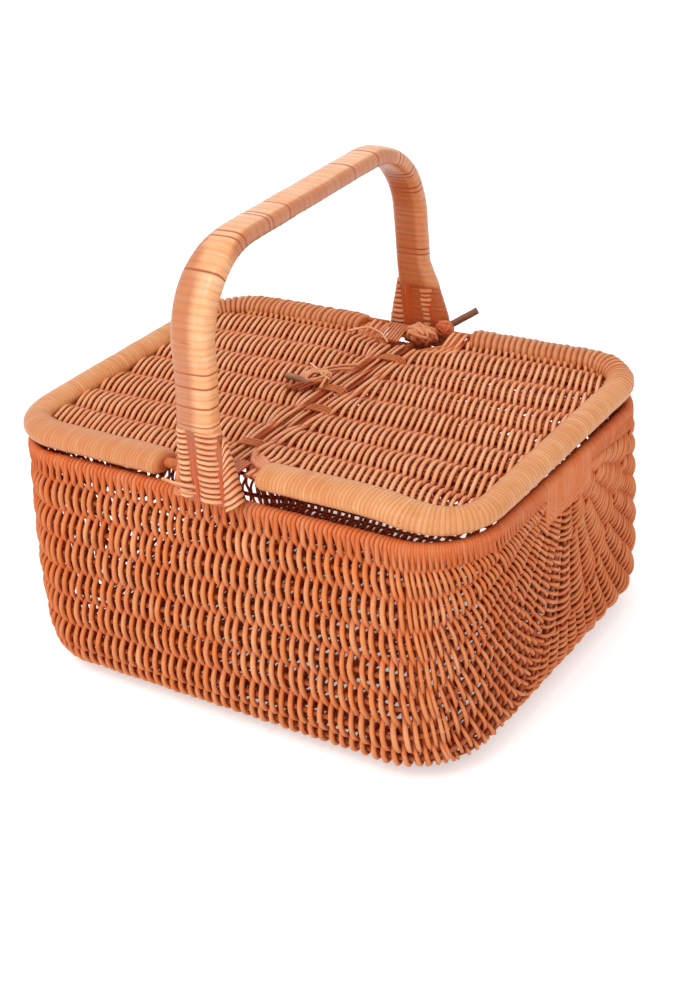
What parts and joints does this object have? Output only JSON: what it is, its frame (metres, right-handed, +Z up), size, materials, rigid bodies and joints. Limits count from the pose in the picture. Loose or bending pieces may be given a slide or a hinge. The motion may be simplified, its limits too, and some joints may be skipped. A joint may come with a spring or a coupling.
{
  "type": "pie basket",
  "caption": "Rounded rectangular willow basket with a fixed arched carrying handle across its middle and two lid flaps hinged on a bar between the handle's feet.",
  "frame": {"origin": "on the table under the middle of the basket's body", "axes": "+Z up; +X along the long walls, from the left flap to the right flap; +Y from the front wall to the back wall, along the lid's hinge bar"},
  "size_m": [0.4, 0.3216, 0.35],
  "materials": {
    "woven_willow": "satin",
    "rib_willow": "satin",
    "lid_willow": "satin",
    "border_willow": "satin",
    "handle_skein": "gloss",
    "lashing_cane": "gloss",
    "bark_twig": "matt"
  },
  "bodies": {
    "basket": {"body_weave": "woven_willow", "rim_hoop": "woven_willow", "bottom_rib_1": "rib_willow", "bottom_rib_2": "rib_willow", "bottom_rib_3": "rib_willow", "bottom_rib_4": "rib_willow", "bottom_rib_5": "rib_willow", "bottom_rib_6": "rib_willow", "front_wall_rib_1": "rib_willow", "front_wall_rib_2": "rib_willow", "front_wall_rib_3": "rib_willow", "front_wall_rib_4": "rib_willow", "front_wall_rib_5": "rib_willow", "front_wall_rib_6": "rib_willow", "back_wall_rib_1": "rib_willow", "back_wall_rib_2": "rib_willow", "back_wall_rib_3": "rib_willow", "back_wall_rib_4": "rib_willow", "back_wall_rib_5": "rib_willow", "back_wall_rib_6": "rib_willow", "handle_wrap": "handle_skein", "handle_rod_1": "handle_skein", "handle_rod_2": "handle_skein", "handle_rod_3": "handle_skein", "front_lashing": "lashing_cane", "back_lashing": "lashing_cane", "front_left_stake": "rib_willow", "front_right_stake": "rib_willow", "back_left_stake": "rib_willow", "back_right_stake": "rib_willow", "centre_bar": "border_willow"},
    "left_flap": {"left_flap_frame": "border_willow", "left_flap_border": "border_willow", "left_flap_panel": "lid_willow", "left_lid_rib_1": "rib_willow", "left_lid_rib_2": "rib_willow", "left_lid_rib_3": "rib_willow", "left_lid_rib_4": "rib_willow", "left_lid_rib_5": "rib_willow", "left_lid_rib_6": "rib_willow", "left_lid_rib_7": "rib_willow", "left_tie_1": "lashing_cane", "left_tie_2": "lashing_cane", "middle_tie_butt": "bark_twig", "middle_tie_twig": "lashing_cane", "back_tie_twig": "lashing_cane"},
    "right_flap": {"right_flap_frame": "border_willow", "right_flap_border": "border_willow", "right_flap_panel": "lid_willow", "right_lid_rib_1": "rib_willow", "right_lid_rib_2": "rib_willow", "right_lid_rib_3": "rib_willow", "right_lid_rib_4": "rib_willow", "right_lid_rib_5": "rib_willow", "right_lid_rib_6": "rib_willow", "right_lid_rib_7": "rib_willow", "right_tie_1": "lashing_cane", "right_tie_2": "lashing_cane", "back_tie_stick": "bark_twig"}
  },
  "joints": [
    {"name": "left_lid_hinge", "type": "hinge", "parent": "basket", "child": "left_flap", "pos_m": [0, 0, 0.1858], "axis": [0, 1, 0], "range_deg": [0, 40]},
    {"name": "right_lid_hinge", "type": "hinge", "parent": "basket", "child": "right_flap", "pos_m": [0, 0, 0.1858], "axis": [0, -1, 0], "range_deg": [0, 40]}
  ]
}
